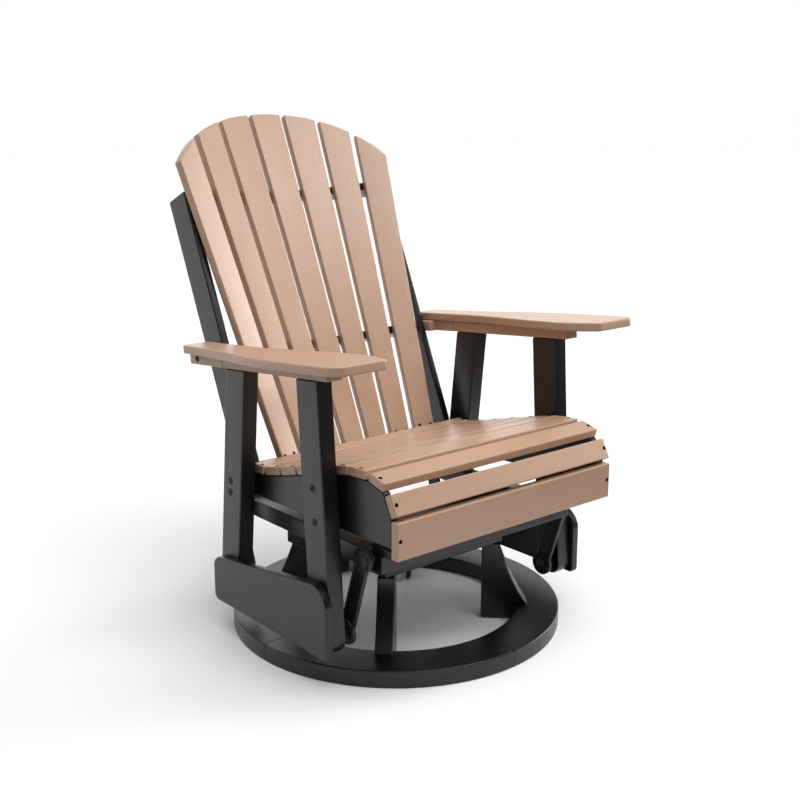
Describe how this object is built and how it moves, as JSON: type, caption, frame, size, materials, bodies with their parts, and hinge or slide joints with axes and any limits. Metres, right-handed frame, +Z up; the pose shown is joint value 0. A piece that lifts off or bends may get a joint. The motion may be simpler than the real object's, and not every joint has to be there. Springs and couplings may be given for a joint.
{
  "type": "adirondack swivel glider",
  "caption": "Slatted lounge chair with fan back and broad armrests that glides on short arms and swivels on a ring base.",
  "frame": {"origin": "on the floor under the middle of the chair's bounding box; the swivel axis stands 66.9 mm in front of it, towards -Y", "axes": "+Z up, the chair faces -Y, +X is the chair's right side in a view from the front"},
  "size_m": [0.8422, 0.8878, 1.1353],
  "materials": {
    "tan_board": "lightly grained satin board in tan",
    "black_board": "lightly grained satin board in black",
    "black_moulding": "fine-textured black moulding",
    "zinc_steel": "zinc plated"
  },
  "bodies": {
    "base": {"ring": "black_board", "leg_front_left": "black_board", "leg_front_right": "black_board", "leg_rear_left": "black_board", "leg_rear_right": "black_board", "hub_board": "black_board", "swivel_tube": "zinc_steel", "swivel_plate_lower": "zinc_steel"},
    "swivel_frame": {"swivel_plate_upper": "zinc_steel", "mount_board": "black_board", "cross_rail_front": "black_board", "cross_rail_rear": "black_board", "cross_cap_front": "black_board", "cross_cap_rear": "black_board", "side_rail_left": "black_board", "side_rail_right": "black_board"},
    "arm_front_left": {"glider_arm_front_left": "black_moulding"},
    "arm_front_right": {"glider_arm_front_right": "black_moulding"},
    "arm_rear_left": {"glider_arm_rear_left": "black_moulding"},
    "arm_rear_right": {"glider_arm_rear_right": "black_moulding"},
    "chair": {"seat_slat_1": "tan_board", "seat_slat_2": "tan_board", "seat_slat_3": "tan_board", "seat_slat_4": "tan_board", "seat_slat_5": "tan_board", "seat_slat_6": "tan_board", "seat_slat_7": "tan_board", "nose_slat_upper": "tan_board", "nose_slat_lower": "tan_board", "front_apron": "tan_board", "seat_rail_left": "black_board", "seat_rail_right": "black_board", "post_front_left": "black_board", "post_front_right": "black_board", "post_rear_left": "black_board", "post_rear_right": "black_board", "post_spacer_front_left": "black_board", "post_spacer_front_right": "black_board", "post_spacer_rear_left": "black_board", "post_spacer_rear_right": "black_board", "skirt_left": "black_board", "skirt_right": "black_board", "armrest_left": "tan_board", "armrest_right": "tan_board", "armrest_cleat_left": "tan_board", "armrest_cleat_right": "tan_board", "armrest_block_left": "tan_board", "armrest_block_right": "tan_board", "back_slat_1": "tan_board", "back_slat_2": "tan_board", "back_slat_3": "tan_board", "back_slat_4": "tan_board", "back_slat_5": "tan_board", "back_slat_6": "tan_board", "back_slat_7": "tan_board", "back_stile_left": "black_board", "back_stile_right": "black_board", "back_rail_low": "black_board", "back_rail_middle": "black_board", "back_rail_high": "black_board"}
  },
  "joints": [
    {"name": "swivel", "type": "hinge", "parent": "base", "child": "swivel_frame", "pos_m": [0, -0.0669, 0.2098], "axis": [0, 0, 1], "continuous": true},
    {"name": "glide", "type": "hinge", "parent": "swivel_frame", "child": "arm_front_left", "pos_m": [-0.289, -0.3124, 0.2792], "axis": [1, 0, 0], "range_deg": [-8, 8]},
    {"name": "glide_front_right", "type": "hinge", "parent": "swivel_frame", "child": "arm_front_right", "pos_m": [0.289, -0.3124, 0.2792], "axis": [1, 0, 0], "range_deg": [-8.1, 8.1]},
    {"name": "glide_rear_left", "type": "hinge", "parent": "swivel_frame", "child": "arm_rear_left", "pos_m": [-0.289, 0.1466, 0.2792], "axis": [1, 0, 0], "range_deg": [-8.1, 8.1]},
    {"name": "glide_rear_right", "type": "hinge", "parent": "swivel_frame", "child": "arm_rear_right", "pos_m": [0.289, 0.1466, 0.2792], "axis": [1, 0, 0], "range_deg": [-8.1, 8.1]},
    {"name": "seat_rock", "type": "hinge", "parent": "arm_front_left", "child": "chair", "pos_m": [-0.289, -0.2569, 0.1062], "axis": [1, 0, 0], "range_deg": [-10.6, 10.6]}
  ],
  "couplings": [
    {"joint": "glide_front_right", "follows": "glide", "ratio": 1},
    {"joint": "glide_rear_left", "follows": "glide", "ratio": 1},
    {"joint": "glide_rear_right", "follows": "glide", "ratio": 1},
    {"joint": "seat_rock", "follows": "glide", "ratio": -1.319}
  ]
}
